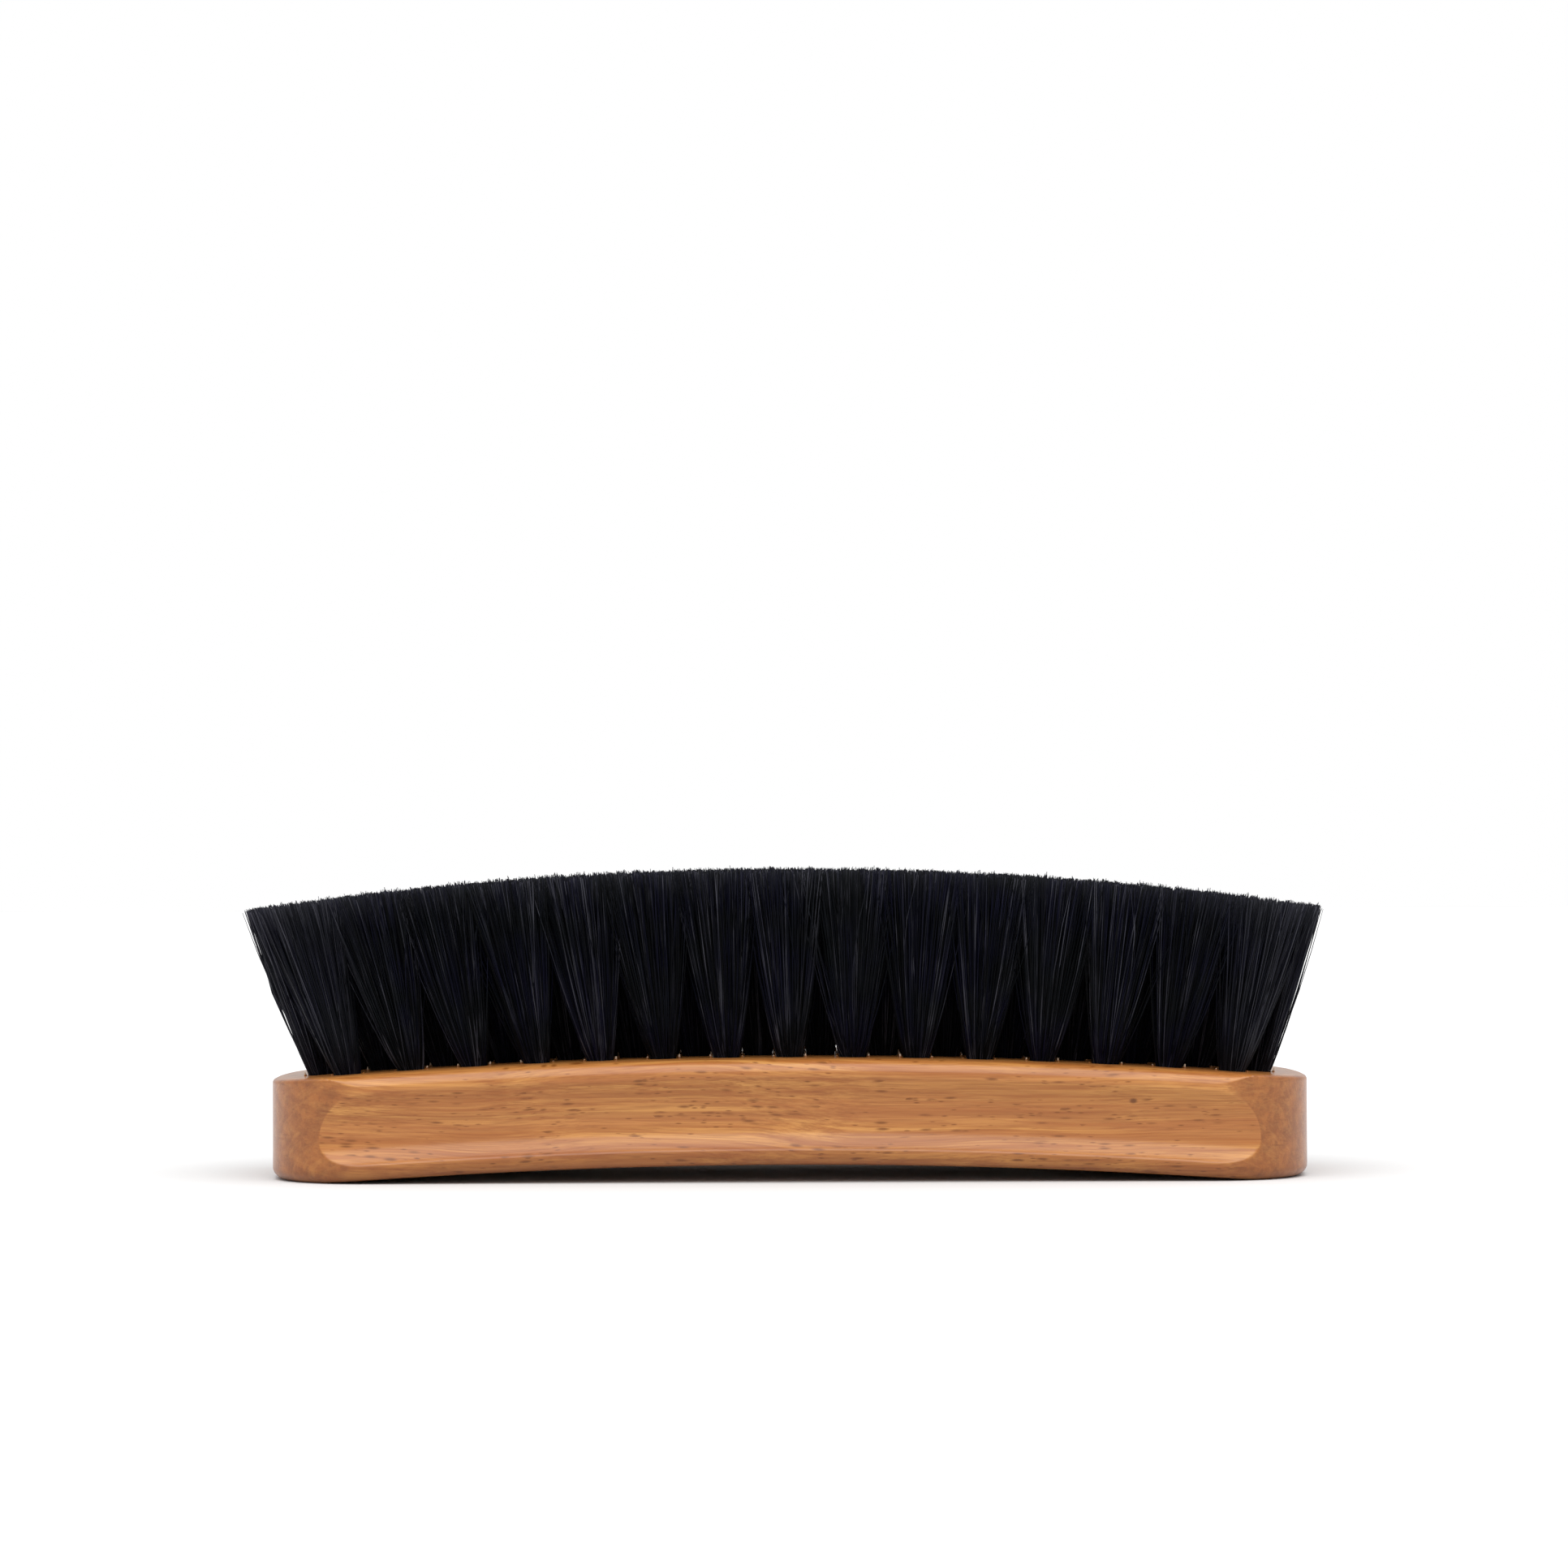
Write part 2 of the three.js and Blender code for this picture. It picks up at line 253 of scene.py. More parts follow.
class Shader:
    """A material's node tree, with short calls for the nodes that the materials below use."""

    def __init__(self, name):
        self.material = bpy.data.materials.new(name)
        self.material.use_nodes = True
        self.tree = self.material.node_tree
        self.surface = self.tree.nodes["Principled BSDF"]

    def node(self, kind, inputs=(), **settings):
        node = self.tree.nodes.new(kind)
        for key, value in settings.items():
            setattr(node, key, value)
        for socket, value in dict(inputs).items():
            self.feed(node, socket, value)
        return node

    def feed(self, node, socket, value):
        if isinstance(value, bpy.types.NodeSocket):
            self.tree.links.new(value, node.inputs[socket])
        else:
            node.inputs[socket].default_value = value

    def set(self, **values):
        for socket, value in values.items():
            self.feed(self.surface, socket.replace("_", " "), value)

    def millimetres(self):
        place = self.node("ShaderNodeTexCoord").outputs["Object"]
        return self.stretched(place, (1 / MM,) * 3)

    def stretched(self, vector, scale, offset=(0, 0, 0)):
        inputs = {"Vector": vector, "Scale": scale, "Location": offset}
        return self.node("ShaderNodeMapping", inputs).outputs["Vector"]

    def noise(self, vector, detail=3, roughness=0.5):
        inputs = {"Vector": vector, "Scale": 1, "Detail": detail, "Roughness": roughness}
        return self.node("ShaderNodeTexNoise", inputs).outputs["Fac"]

    def math(self, operation, *values):
        return self.node("ShaderNodeMath", enumerate(values), operation=operation).outputs[0]

    def vector_math(self, operation, *values):
        node = self.node("ShaderNodeVectorMath", enumerate(values), operation=operation)
        return node.outputs["Value" if operation in ("DISTANCE", "LENGTH") else "Vector"]

    def ranged(self, value, low, high, to_low=0.0, to_high=1.0):
        """value from low to high, turned smoothly into to_low to to_high."""
        inputs = {"Value": value, "From Min": low, "From Max": high,
                  "To Min": to_low, "To Max": to_high}
        node = self.node("ShaderNodeMapRange", inputs, interpolation_type="SMOOTHSTEP")
        return node.outputs["Result"]

    def mix(self, share, first, second, blend="MIX"):
        node = self.node("ShaderNodeMix", data_type="RGBA", blend_type=blend)
        for socket, value in zip((0, 6, 7), (share, first, second)):
            self.feed(node, socket, value)
        return node.outputs[2]

    def bump(self, height, distance, strength):
        inputs = {"Height": height, "Distance": distance * MM, "Strength": strength}
        return self.node("ShaderNodeBump", inputs).outputs["Normal"]


def wavy_grain(shader, place):
    """The place, moved sideways by a slow noise, so that the grain along X is a little wavy."""
    bend = shader.noise(shader.stretched(place, (0.012, 0.03, 0.03)), detail=2)
    shift = shader.node("ShaderNodeCombineXYZ", {
        "Y": shader.ranged(bend, 0.2, 0.8, -3, 3),
        "Z": shader.ranged(bend, 0.2, 0.8, -2.2, 2.2),
    }).outputs[0]
    return shader.vector_math("ADD", place, shift)


def ray_dashes(shader, grain):
    """Short dark dashes where the rays come out at the sides, more of them in some areas than in
    others: the hearts of some of the cells of two stretched cell patterns."""
    crowd = shader.noise(shader.stretched(grain, (0.05, 0.25, 0.3), (7, 3, 1)), detail=2)
    limit = shader.math("ADD", shader.ranged(crowd, 0.35, 0.65, -0.3, 0.3), DASH_SHARE)
    dashes = []
    for scale, reach in ((LONG_DASHES, 0.44), (SHORT_DASHES, 0.38)):
        cells = shader.node("ShaderNodeTexVoronoi", {
            "Vector": shader.stretched(grain, scale), "Scale": 1, "Randomness": 1}, feature="F1")
        pick = shader.node("ShaderNodeSeparateColor", {"Color": cells.outputs["Color"]})
        chosen = shader.math("LESS_THAN", pick.outputs[0], limit)
        heart = shader.ranged(cells.outputs["Distance"], 0.2 * reach, reach, 1, 0)
        dashes.append(shader.math("MULTIPLY", heart, chosen))
    return shader.math("MAXIMUM", *dashes)


def growth(shader, grain):
    """Growth rings round the heart of the tree, and fine rays that run out from it."""
    apart = shader.node("ShaderNodeSeparateXYZ", {
        "Vector": shader.vector_math("SUBTRACT", grain, (0, *HEART))}).outputs
    across = shader.node("ShaderNodeCombineXYZ", {"Y": apart[1], "Z": apart[2]}).outputs[0]
    radius = shader.vector_math("LENGTH", across)
    polar = shader.node("ShaderNodeCombineXYZ", {
        "X": shader.math("MULTIPLY", apart[0], 0.15),
        "Y": shader.math("MULTIPLY", shader.math("ARCTAN2", apart[1], apart[2]), RAY_FINENESS),
        "Z": shader.math("MULTIPLY", radius, 0.35),
    }).outputs[0]
    rings = shader.math("SINE", shader.math("MULTIPLY", radius, 2 * math.pi / RING_WIDTH))
    return rings, shader.noise(polar, detail=2)


def side_grain(shader, grain, lines, fibre, rings):
    """The colour of the long sides, the face and the back: streaks and dashes along X."""
    broad = shader.noise(shader.stretched(grain, (0.01, 0.28, 0.34)), detail=2)
    streaks = shader.noise(shader.stretched(grain, (0.018, 0.8, 1.1)), detail=4, roughness=0.65)
    dash = shader.math("MULTIPLY", ray_dashes(shader, grain), DASH_STRENGTH)
    colour = shader.mix(shader.ranged(streaks, 0.34, 0.66), LIGHT_BEECH, DEEP_BEECH)
    colour = shader.mix(shader.ranged(broad, 0.35, 0.65, 0, 0.55), colour, PINK_BEECH)
    colour = shader.mix(shader.ranged(lines, 0.42, 0.7, 0, 0.5), colour, BROWN_BEECH)
    colour = shader.mix(shader.ranged(fibre, 0.45, 0.75, 0, 0.25), colour, BROWN_BEECH)
    colour = shader.mix(dash, colour, RAY)
    return shader.mix(shader.ranged(rings, 0.2, 1, 0, 0.22), colour, BROWN_BEECH)


def end_grain(shader, place, rings, rays):
    """The colour of the two ends: mottled, with pores, growth rings and fine rays."""
    mottle = shader.noise(shader.stretched(place, (0.4, 0.5, 0.4)), detail=5, roughness=0.7)
    pores = shader.noise(shader.stretched(place, (1.5, 4.5, 4.5)), detail=2)
    colour = shader.mix(shader.ranged(mottle, 0.35, 0.65), END_BEECH, END_BROWN)
    colour = shader.mix(shader.ranged(rings, 0, 1, 0, 0.3), colour, END_BROWN)
    colour = shader.mix(shader.ranged(rays, 0.5, 0.75, 0, 0.2), colour, LIGHT_BEECH)
    return shader.mix(shader.ranged(pores, 0.5, 0.7, 0, 0.4), colour, RAY)


def beech():
    """Steamed beech under a satin finish, with one pin knot and painted shade along the bottom.
    What stands above the face is raw wood, which the drill has lifted, lightened by painted
    light."""
    shader = Shader("beech")
    place = shader.millimetres()
    grain = wavy_grain(shader, place)
    lines = shader.noise(shader.stretched(grain, (0.05, 2.6, 3.6)), detail=3, roughness=0.65)
    fibre = shader.noise(shader.stretched(grain, (0.2, 6, 6)), detail=2, roughness=0.6)
    rings, rays = growth(shader, grain)

    normal = shader.node("ShaderNodeTexCoord").outputs["Normal"]
    facing = shader.node("ShaderNodeSeparateXYZ", {"Vector": normal}).outputs[0]
    end = shader.ranged(shader.math("ABSOLUTE", facing), 0.08, 0.34)

    # The height, as if the face and the back were flat
    split = shader.node("ShaderNodeSeparateXYZ", {"Vector": place}).outputs
    sag = shader.math("DIVIDE", shader.math("MULTIPLY", split[0], split[0]), 2 * ARCH_RADIUS)
    level = shader.math("ADD", split[2], sag)
    raised = shader.ranged(level, FACE_HEIGHT + 0.1, FACE_HEIGHT + 0.35, 0, 0.75)

    to_knot = shader.vector_math("DISTANCE", shader.stretched(place, KNOT_STRETCH),
                                 tuple(np.multiply(PIN_KNOT, KNOT_STRETCH)))

    colour = side_grain(shader, grain, lines, fibre, rings)
    # Painted shade: the colour is darkened towards the bottom of the sides, over the lower flank
    # and the lip, where less light reaches them.
    colour = shader.mix(shader.ranged(level, 7.4, 5), colour, LIP_PAINTED_SHADE, blend="MULTIPLY")
    colour = shader.mix(shader.math("MULTIPLY", end, END_STRENGTH), colour,
                        end_grain(shader, place, rings, rays))
    colour = shader.mix(shader.ranged(to_knot, 0.25, 0.85, 0.95, 0), colour, KNOT)
    # The splinters take the raw colour, partly real raw wood and partly painted light that keeps
    # them pale in the hair's shade.
    colour = shader.mix(raised, colour, RAW_BEECH_AND_PAINTED_LIGHT)
    shader.set(
        Base_Color=colour,
        Roughness=shader.ranged(fibre, 0.3, 0.7, 0.38, 0.5),
        Specular_IOR_Level=0.25,
        Coat_Weight=0.5,
        Coat_Roughness=0.2,
        Normal=shader.bump(lines, 0.03, 0.5),
    )
    return shader.material


def horsehair():
    """Black horsehair, a little bluish in patches, with a soft gloss and strands of painted
    highlight.
    The open tufts at the two ends of the brush are lightened as painted light, so they look
    lightest."""
    shader = Shader("horsehair")
    place = shader.millimetres()
    tone = shader.node("ShaderNodeAttribute", attribute_name="tone").outputs["Fac"]
    patch = shader.noise(shader.stretched(place, (0.35, 0.35, 0.12)), detail=2)
    tint = shader.noise(shader.stretched(place, (0.12, 0.12, 0.08), (3, 1, 2)), detail=2)
    along = shader.node("ShaderNodeSeparateXYZ", {"Vector": place}).outputs[0]
    end = shader.ranged(shader.math("ABSOLUTE", along), 0.36 * LENGTH, 0.5 * LENGTH)
    # Painted highlight: a share of the strands, more of them at the two ends, are made lighter to
    # stand in for glints.
    fine = shader.math("MULTIPLY", shader.ranged(tone, 0.7, 1),
                       shader.ranged(patch, 0.4, 0.65, 0.25, 1))
    fine = shader.math("MAXIMUM", fine, shader.math("MULTIPLY", shader.ranged(tone, 0.6, 1), end))
    dark = shader.mix(shader.ranged(tint, 0.35, 0.65), BLUE_HAIR, GREY_HAIR)
    colour = shader.mix(shader.ranged(tone, 0, 0.8), BLACK_HAIR, dark)
    # Painted light: the tufts at the two ends are lightened.
    colour = shader.mix(shader.math("MULTIPLY", end, 0.45), colour, END_HAIR_PAINTED_LIGHT)
    colour = shader.mix(fine, colour, HAIR_PAINTED_HIGHLIGHT)
    shader.set(
        Base_Color=colour,
        Roughness=shader.ranged(tone, 0, 1, 0.55, 0.4),
        Specular_IOR_Level=0.07,
    )
    return shader.material


def tinned_wire():
    shader = Shader("anchor_wire")
    place = shader.millimetres()
    drawn = shader.noise(shader.stretched(place, (0.6, 8, 8)), detail=3)
    shader.set(
        Base_Color=shader.mix(drawn, (0.5, 0.5, 0.48, 1), (0.66, 0.65, 0.62, 1)),
        Metallic=1.0,
        Roughness=shader.ranged(drawn, 0.3, 0.7, 0.25, 0.42),
        Normal=shader.bump(drawn, 0.01, 0.4),
    )
    return shader.material


# ---- Block ----

def soft_min(a, b, softness):
    share = np.clip(0.5 + 0.5 * (b - a) / softness, 0, 1)
    return b * (1 - share) + a * share - softness * share * (1 - share)


def curve(start, control, end, share):
    """A point on a quadratic curve between two points."""
    start, control, end = (np.array(p, float) for p in (start, control, end))
    share = share[:, None]
    return (1 - share) ** 2 * start + 2 * share * (1 - share) * control + share ** 2 * end


def moulding_table():
    """Half the width of the moulded block against depth below the face, softly sanded."""
    side = WIDTH / 2
    floor = side - COVE_DEPTH
    share = np.linspace(0, 1, 40)
    turn = np.radians(90 * share)
    middle = side - FACE_ROUND_RADIUS
    outline = np.vstack([
        np.stack([middle + FACE_ROUND_RADIUS * np.sin(turn),
                  FACE_ROUND_RADIUS * (1 - np.cos(turn))], 1),
        curve((side, COVE_TOP), (floor, UPPER_FLANK_BEND), (floor, COVE_FLOOR), share),
        curve((floor, COVE_FLOOR), (floor, LOWER_FLANK_BEND), (side, COVE_BOTTOM), share),
        [[side, THICKNESS]],
    ])
    step = 0.05
    depths = np.arange(0, THICKNESS + step, step)
    widths = np.interp(depths, outline[:, 1], outline[:, 0])
    reach = 6
    weights = np.hanning(2 * reach + 3)[1:-1]
    padded = np.pad(widths, reach, mode="edge")
    smooth = np.convolve(padded, weights / weights.sum(), mode="valid")
    ease = np.clip(depths / FACE_ROUND_RADIUS, 0, 1)  # the round edge itself stays as it is
    return depths, widths * (1 - ease) + smooth * ease


def plan_stations():
    """Points of the plan outline from its left end to its right end on one side, with the
    outward direction at each: rows of x, y, nx, ny."""
    corner_y = WIDTH / 2 - CORNER_RADIUS
    bow_x = LENGTH / 2 - END_RADIUS
    meet = math.asin(corner_y / (END_RADIUS - CORNER_RADIUS))
    corner_x = bow_x + (END_RADIUS - CORNER_RADIUS) * math.cos(meet)

    straight = [(x, WIDTH / 2, 0, 1) for x in np.linspace(0, corner_x, 37)[:-1]]
    corner = [(corner_x + CORNER_RADIUS * math.cos(a), corner_y + CORNER_RADIUS * math.sin(a),
               math.cos(a), math.sin(a)) for a in np.linspace(math.pi / 2, meet, 120)[:-1]]
    bow = [(bow_x + END_RADIUS * math.cos(a), END_RADIUS * math.sin(a),
            math.cos(a), math.sin(a)) for a in np.linspace(meet, 0, 20)]
    right = np.array(straight + corner + bow)
    left = right[:0:-1] * (-1, 1, -1, 1)
    return np.vstack([left, right])


def fillet(distance, radius):
    """How far a rounded edge stands back at this distance from it."""
    inside = np.clip(radius - distance, 0, radius)
    return radius - np.sqrt(radius ** 2 - inside ** 2)


def block_mesh():
    """The block as loops round it, one for each station along it."""
    x, y, nx, ny = plan_stations().T[:, :, None]

    # The depths of the points of a wall, closest in the two rounded edges
    depth = np.concatenate([np.linspace(0, 3, 16)[:-1], np.linspace(3, 14, 34)[:-1],
                            np.linspace(14, THICKNESS, 22)])[None, :]
    inset = fillet(depth, FACE_EDGE_RADIUS) + fillet(THICKNESS - depth, BACK_EDGE_RADIUS)
    side_x = x - nx * inset
    table = moulding_table()
    side_y = soft_min(y - ny * inset, np.interp(depth, *table), SANDING)
    side_y = np.maximum(side_y, 0)

    # Below this depth a wall is squeezed a little where it ends on a flat land.
    fixed = 13
    share = np.clip((depth - fixed) / (THICKNESS - fixed), 0, 1)
    upper = face_height(side_x) - np.minimum(depth, fixed)
    side_z = upper * (1 - share) + back_height(side_x) * share

    across = np.linspace(1, -1, 30)[None, 1:-1]

    def strip(i, height, way):
        strip_x = np.repeat(side_x[:, [i]], across.shape[1], 1)
        return np.stack([strip_x, way * across * side_y[:, [i]], height(strip_x)], 2)

    front = np.stack([side_x, -side_y, side_z], 2)
    behind = np.stack([side_x, side_y, side_z], 2)[:, ::-1]
    loops = np.concatenate([front, strip(-1, back_height, -1), behind,
                            strip(0, face_height, 1)], 1)
    stations, samples = loops.shape[:2]
    index = np.arange(stations * samples).reshape(stations, samples)
    following = np.roll(index, -1, axis=1)
    quads = np.stack([index[:-1], index[1:], following[1:], following[:-1]], 2).reshape(-1, 4)
    mesh = mesh_of("block_body", loops.reshape(-1, 3), quads)

    work = bmesh.new()
    work.from_mesh(mesh)
    bmesh.ops.remove_doubles(work, verts=work.verts, dist=0.001 * MM)
    bmesh.ops.dissolve_degenerate(work, edges=work.edges, dist=0.001 * MM)
    bmesh.ops.recalc_face_normals(work, faces=work.faces)
    work.to_mesh(mesh)
    work.free()
    return mesh


def tuft_places():
    """{(row, number): (x, y)} for each tuft, as the CAD nodes number them."""
    places = {}
    for row in range(1, ROWS + 1):
        count = LONG_ROW_TUFTS - row % 2
        y = -OUTER_ROW_Y + (row - 1) * ROW_PITCH
        for number in range(1, count + 1):
            places[row, number] = ((number - (count + 1) / 2) * TUFT_PITCH, y)
    return places


def lean_of(x, y):
    return Vector((x * SPREAD_X, y * SPREAD_Y, 1))


def tuft_frame(x, y):
    """The mouth of a tuft's hole as a matrix, with Z along the tuft and X along the block."""
    turn = Vector((0, 0, 1)).rotation_difference(lean_of(x, y)).to_matrix().to_4x4()
    return Matrix.Translation(Vector((x, y, float(face_height(x)))) * MM) @ turn


def holes_mesh(places):
    """All the holes as closed cylinders, which run a little way out of the face."""
    out = 1
    depth = HOLE_DEPTH + out
    work = bmesh.new()
    middle = Matrix.Translation((0, 0, (out - depth / 2) * MM))
    for x, y in places:
        bmesh.ops.create_cone(
            work, cap_ends=True, segments=28, radius1=HOLE_RADIUS * MM,
            radius2=HOLE_RADIUS * MM, depth=depth * MM, matrix=tuft_frame(x, y) @ middle)
    mesh = bpy.data.meshes.new("holes")
    work.to_mesh(mesh)
    work.free()
    return mesh


def add_splinters(mesh, places):
    """Adds to the block a short upright splinter at each of two sides of every hole."""
    rng = np.random.default_rng(11)
    work = bmesh.new()
    work.from_mesh(mesh)
    for x, y in places:
        for way in (-1, 1):
            height = rng.uniform(*SPLINTER_HEIGHTS)
            side = x + way * (HOLE_RADIUS + SPLINTER_DISTANCE)
            middle = float(face_height(side)) + height / 2 - SPLINTER_ROOT
            place = Vector((side, y + rng.normal(0, SPLINTER_SIDESTEP), middle)) * MM
            lean = Matrix.Rotation(way * rng.uniform(0, SPLINTER_LEAN), 4, "Y")
            bmesh.ops.create_cone(
                work, cap_ends=True, segments=6, radius1=SPLINTER_RADIUS * MM,
                radius2=SPLINTER_RADIUS / 3 * MM, depth=height * MM,
                matrix=Matrix.Translation(place) @ lean)
    work.to_mesh(mesh)
    work.free()


def block(material, places):
    piece = link("block_body", block_mesh())
    holes = link("holes", holes_mesh(places))
    cut = piece.modifiers.new("holes", "BOOLEAN")
    cut.operation = "DIFFERENCE"
    cut.solver = "EXACT"
    cut.object = holes
    evaluated = piece.evaluated_get(bpy.context.evaluated_depsgraph_get())
    drilled = bpy.data.meshes.new_from_object(evaluated)
    piece.modifiers.clear()
    piece.data = drilled
    bpy.data.objects.remove(holes)
    add_splinters(drilled, places)
    drilled.polygons.foreach_set("use_smooth", np.ones(len(drilled.polygons), bool))
    drilled.set_sharp_from_angle(angle=math.radians(SHARP_ANGLE))
    put_on(piece, material)
    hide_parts("block")


# ---- Hair ----

def tip_places(places, own, rng):
    """Where the tips of one tuft lie, each nearer to this tuft than to the others, except for
    some mixing: an array of offsets from the tuft's own middle at tip height."""
    rise = TIP_HEIGHT - FACE_HEIGHT
    spread = 1 + rise * np.array([SPREAD_X, SPREAD_Y])
    middles = np.array(list(places.values())) * spread
    middle = middles[own]
    half = np.array([cad_box[1][0], cad_box[1][1]]) / MM - STRAND_RADIUS
    tries = middle + rng.uniform(-1, 1, (TRIES * STRANDS, 2)) * TUFT_PITCH * spread * TRY_REACH

    # Hair that would lie outside the field is held at its edge.
    straight = half - FIELD_CORNER
    past = tries - np.clip(tries, -straight, straight)
    reach = np.linalg.norm(past, axis=1)
    allowed = FIELD_CORNER - np.abs(rng.normal(0, FRINGE, len(tries)))
    allowed = allowed + rng.normal(0, FRAYING, len(tries))
    held = np.minimum(reach, allowed) / np.maximum(reach, 1e-6)
    tries = tries + past * (held - 1)[:, None]
    away = np.linalg.norm(tries[:, None] - middles[None], axis=2)
    near = away[:, own].copy()
    away[:, own] = np.inf
    tries = tries[near < away.min(1) + rng.normal(0, MIXING, len(tries))]
    return tries[:STRANDS] - middle


def strand_paths(places, own, rng):
    """The middle line of every strand of one tuft: an array of strands by levels by 3."""
    x, y = list(places.values())[own]
    tips = tip_places(places, own, rng)

    # Each strand's foot lies in the hole as its tip lies in the fan, more or less.
    rank = np.empty(STRANDS)
    rank[np.argsort(np.linalg.norm(tips, axis=1))] = np.arange(STRANDS)
    turn = np.arctan2(tips[:, 1], tips[:, 0])
    spot = np.sqrt((rank + 0.5) / STRANDS)[:, None] * np.stack([np.cos(turn), np.sin(turn)], 1)
    spot = spot + rng.normal(0, CROSSING, spot.shape)
    stray = rng.random(STRANDS) < STRAY_SHARE
    spot[stray] = rng.uniform(-STRAY_FOOT, STRAY_FOOT, (stray.sum(), 2))
    spot = spot / np.maximum(np.linalg.norm(spot, axis=1), 1)[:, None]
    foot = spot * (HOLE_RADIUS - FOOT_CLEARANCE)

    clumps = tips[rng.choice(STRANDS, STRANDS // STRANDS_PER_CLUMP, replace=False)]
    nearest = np.argmin(((tips[:, None] - clumps[None]) ** 2).sum(2), 1)
    tips = tips + (clumps[nearest] - tips) * CLUMPING * ~stray[:, None]

    base = np.array([x, y, float(face_height(x))])
    lean = np.array(lean_of(x, y))
    tip_x = base[0] + lean[0] * (TIP_HEIGHT - FACE_HEIGHT) + tips[:, 0]
    top = TIP_HEIGHT - drop(TRIM_RADIUS, tip_x) - base[2]
    top = top + rng.normal(0, TRIM_UNEVENNESS, STRANDS) / 2
    top = top + rng.normal(0, TRIM_UNEVENNESS, len(clumps))[nearest]
    top = top + LONG_TIP * rng.random(STRANDS) * (rng.random(STRANDS) < LONG_SHARE)

    levels = np.concatenate([[0], LEVELS])  # the first of them is at the fold
    share = levels[None, :, None]
    height = top[:, None] * levels[None]
    height[:, 0] = FOLD_HEIGHT - HOLE_DEPTH
    offset = foot[:, None] + (tips - foot)[:, None] * share ** FANNING
    amount = np.where(stray, STRAY_WAVE, WAVE)[:, None]
    offset = offset + (rng.normal(0, 1, (STRANDS, 2)) * amount)[:, None] * np.sin(np.pi * share)
    offset = offset + (rng.normal(0, TIP_WAVE, (STRANDS, 2)) * amount)[:, None] * share ** 2

    # At the fold, the strands pass on either side of the anchor.
    side = np.where(offset[:, 0, 1] < 0, -1, 1)
    offset[:, 0, 1] = side * np.maximum(np.abs(offset[:, 0, 1]), ANCHOR_THICKNESS)

    paths = base + lean * height[:, :, None]
    paths[:, :, :2] += offset
    paths[:, :, 0] += COMBED * share[:, :, 0]
    return paths


def tuft_mesh(name, places, own, seed):
    """The hair of one or more tufts, each strand a thin rod with closed ends."""
    rng = np.random.default_rng(seed)
    paths = np.concatenate([strand_paths(places, tuft, rng) for tuft in own])
    strands, levels = paths.shape[:2]
    radius = STRAND_RADIUS * rng.uniform(*THICKNESSES, (strands, 1, 1, 1))
    taper = np.where(np.arange(levels) == levels - 1, TIP_THICKNESS, 1)
    radius = radius * taper[None, :, None, None]
    start = rng.random((strands, 1, 1)) * 2 * np.pi
    turn = start + np.arange(STRAND_SIDES) * 2 * np.pi / STRAND_SIDES
    ring = np.stack([np.cos(turn), np.sin(turn), np.zeros_like(turn)], 3)
    points = paths[:, :, None] + ring * radius

    index = np.arange(points[..., 0].size).reshape(strands, levels, STRAND_SIDES)
    following = np.roll(index, -1, axis=2)
    quads = np.stack([index[:, :-1], following[:, :-1], following[:, 1:], index[:, 1:]], 3)
    mesh = mesh_of(name, points.reshape(-1, 3), quads.reshape(-1, 4),
                   index[:, 0, ::-1], index[:, -1])
    tone = mesh.attributes.new("tone", "FLOAT", "POINT")
    tones = np.repeat(rng.random(strands), levels * STRAND_SIDES)
    tone.data.foreach_set("value", tones.astype(np.float32))
    bake_map(mesh, strands, levels)
    return mesh


def bake_map(mesh, strands, levels):
    """A UV map that gives each strand a square of its own in a grid, with its walls in the
    middle and its two ends, the foot first, as small triangles in the margins."""
    margin = 0.06
    end_width, end_height = 0.1, 0.02
    end_places = (0.01, 0.965)
    cells = math.ceil(math.sqrt(strands))
    strand = np.arange(strands)
    corner = np.stack([strand % cells, strand // cells], 1)[:, None, None, None]
    level, side = np.meshgrid(np.arange(levels - 1), np.arange(STRAND_SIDES), indexing="ij")
    across = np.array([0, 1, 1, 0])
    along = np.array([0, 0, 1, 1])
    wall = np.stack([(side[..., None] + across) / STRAND_SIDES,
                     (level[..., None] + along) / (levels - 1)], 3)
    walls = (corner + margin + (1 - 2 * margin) * wall[None]) / cells
    ends = [(corner[:, 0, 0] + np.array([
        (0.5, low), (0.5 + end_width, low), (0.5, low + end_height)])) / cells
            for low in end_places]
    layer = mesh.uv_layers.new(name="OFBake")
    places = np.concatenate([walls.reshape(-1, 2)] + [part.reshape(-1, 2) for part in ends])
    layer.uv.foreach_set("vector", places.astype(np.float32).ravel())


def hair(material, places):
    """One piece of hair for each CAD tuft node, in the same holes."""
    order = list(places)
    for node in sorted(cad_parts):
        kind, *rest = node.split("_")
        if kind not in ("tuft", "tufts"):
            continue
        row = int(rest[0].removeprefix("row"))
        own = [order.index((row, int(number))) for number in rest[1:]]
        mesh = tuft_mesh(node, places, own, [row, int(rest[1])])
        piece = link(f"hair_{'_'.join(rest)}", mesh)
        put_on(piece, material)
        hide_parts(node)


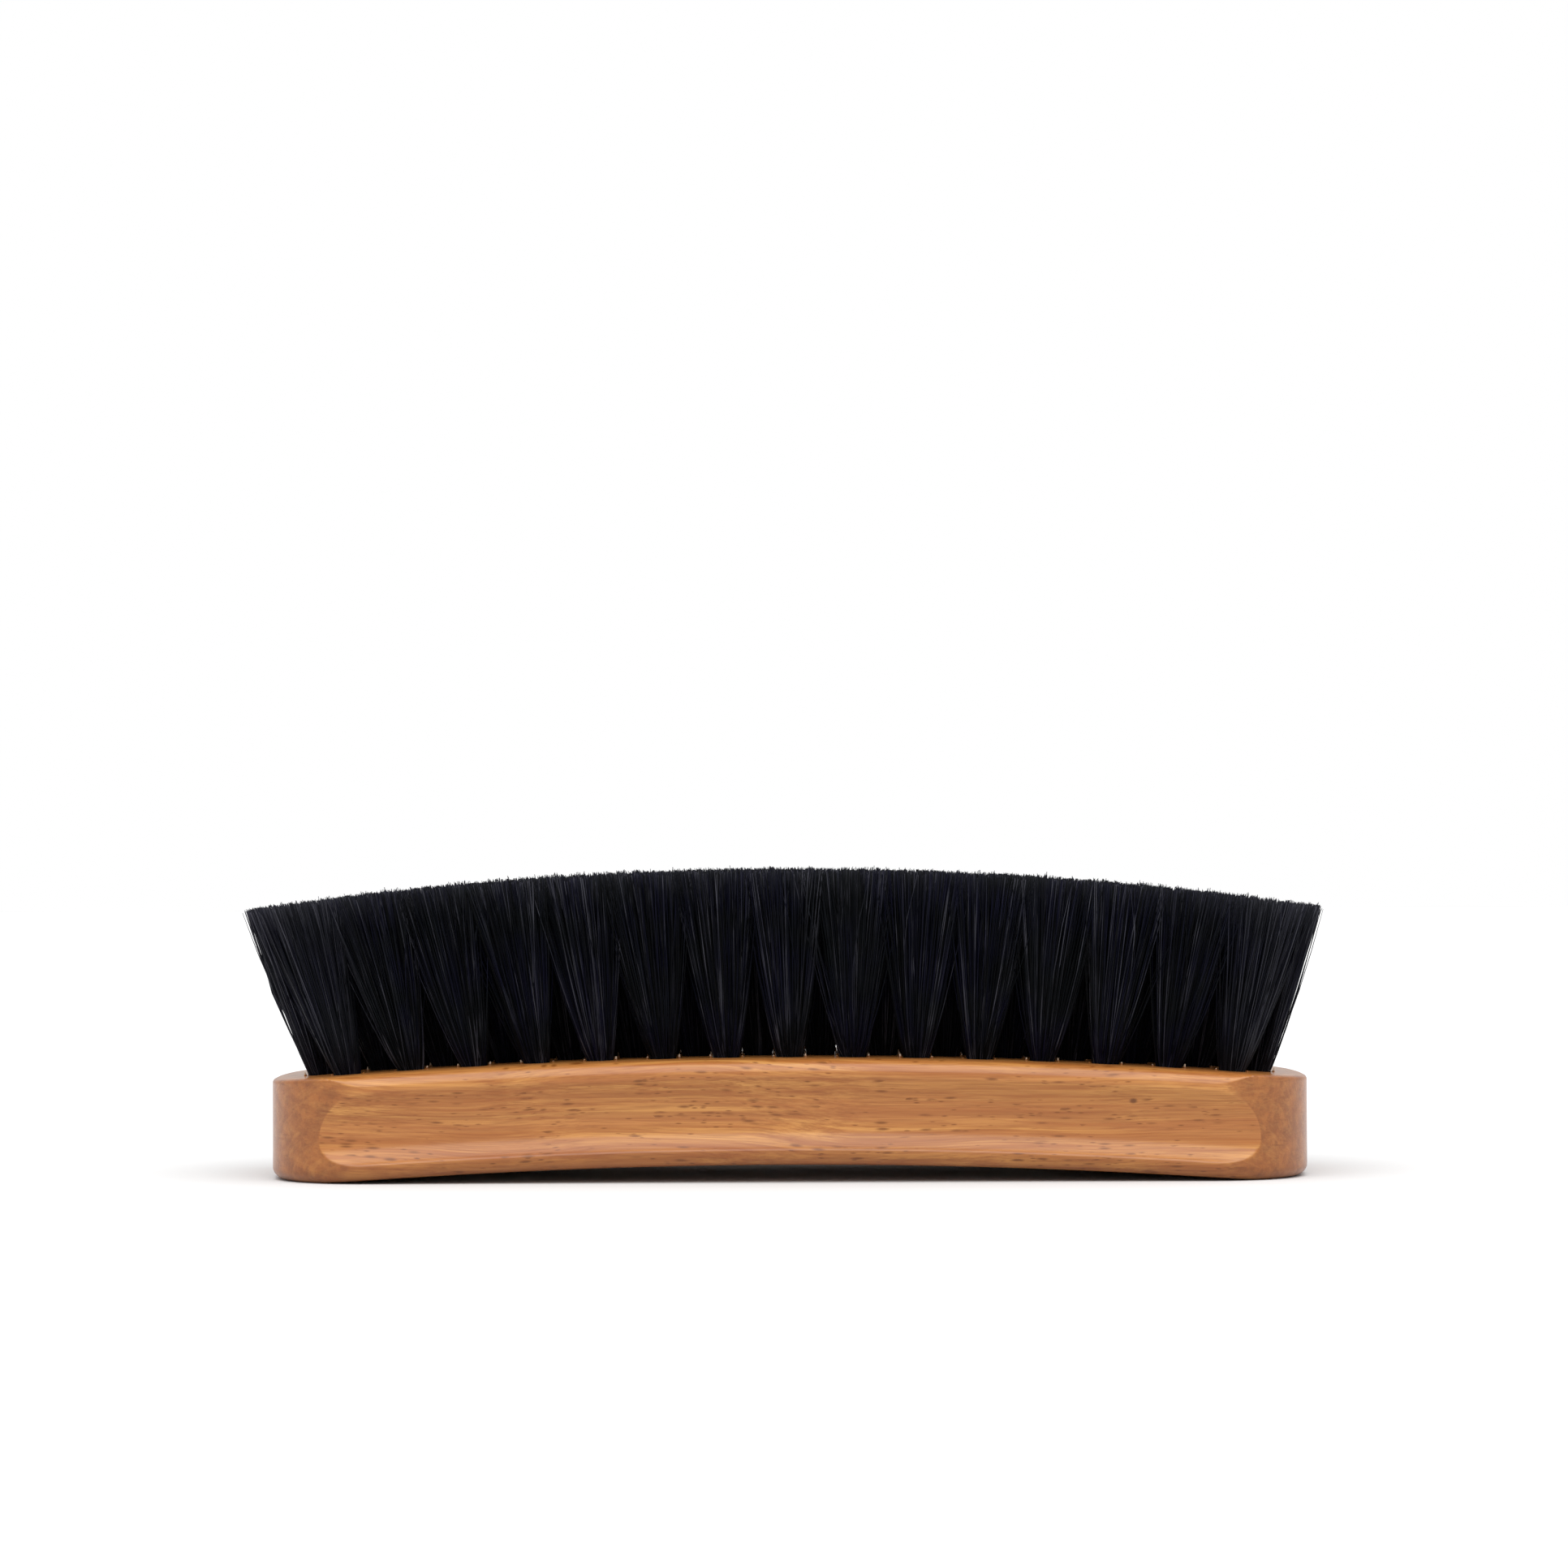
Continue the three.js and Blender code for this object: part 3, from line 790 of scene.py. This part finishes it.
def anchors(material, places):
    """The flat wires that hold the tufts by their folds, one piece for each row."""
    height = ANCHOR_LIFT + ANCHOR_DEPTH / 2 - HOLE_DEPTH
    middle = Matrix.Translation((0, 0, height * MM))
    size = Matrix.Diagonal((ANCHOR_LENGTH, ANCHOR_THICKNESS, ANCHOR_DEPTH, 1))
    for row in range(1, ROWS + 1):
        work = bmesh.new()
        for (own_row, _), (x, y) in places.items():
            if own_row == row:
                bmesh.ops.create_cube(work, size=MM, matrix=tuft_frame(x, y) @ middle @ size)
        bmesh.ops.bevel(work, geom=work.edges[:], offset=ANCHOR_EDGE * MM, segments=2,
                        affect="EDGES")
        mesh = bpy.data.meshes.new(f"anchors_row{row}")
        work.to_mesh(mesh)
        work.free()
        put_on(link(f"anchors_row{row}", mesh), material)


# ---- Stage ----

def stage():
    """A wide pale floor under an even white sky, with one soft lamp from above and in front."""
    shader = Shader("paper")
    shader.set(Base_Color=(FLOOR_GREY, FLOOR_GREY, FLOOR_GREY, 1), Roughness=0.8,
               Specular_IOR_Level=0.1)
    corners = FLOOR_SIZE / 2 * np.array([(-1, -1, 0), (1, -1, 0), (1, 1, 0), (-1, 1, 0)])
    floor = link("floor", mesh_of("floor", corners, np.array([[0, 1, 2, 3]])))
    floor.data.materials.append(shader.material)

    world = bpy.data.worlds.new("studio")
    world.use_nodes = True
    tree = world.node_tree
    background = tree.nodes["Background"]
    background.inputs["Color"].default_value = (1, 1, 1, 1)

    # The backdrop is pure white, and the light that comes from it is a little weaker.
    seen = tree.nodes.new("ShaderNodeLightPath").outputs["Is Camera Ray"]
    strength = tree.nodes.new("ShaderNodeMapRange")
    strength.inputs["To Min"].default_value = SKY_STRENGTH
    tree.links.new(seen, strength.inputs["Value"])
    tree.links.new(strength.outputs["Result"], background.inputs["Strength"])
    bpy.context.scene.world = world

    lamp = bpy.data.lights.new("overhead", "SUN")
    lamp.energy = LAMP_STRENGTH
    lamp.angle = math.radians(LAMP_ANGLE)
    link("overhead", lamp).rotation_euler = (math.radians(LAMP_TILT), 0, 0)
    bpy.context.scene.view_settings.view_transform = "Standard"


def camera():
    data = bpy.data.cameras.new("camera")
    data.lens = LENS
    data.clip_start = 0.05
    holder = link("camera", data)
    holder.location = Vector((CAMERA_X, -CAMERA_DISTANCE, CAMERA_HEIGHT)) * MM
    level = Euler((math.radians(90 + CAMERA_PITCH), 0, 0)).to_matrix()
    roll = Matrix.Rotation(math.radians(CAMERA_ROLL), 3, "Z")
    holder.rotation_euler = (level @ roll).to_euler()
    bpy.context.scene.camera = holder


# ---- The brush ----

camera()
stage()
places = tuft_places()
block(beech(), places.values())
hair(horsehair(), places)
anchors(tinned_wire(), places)
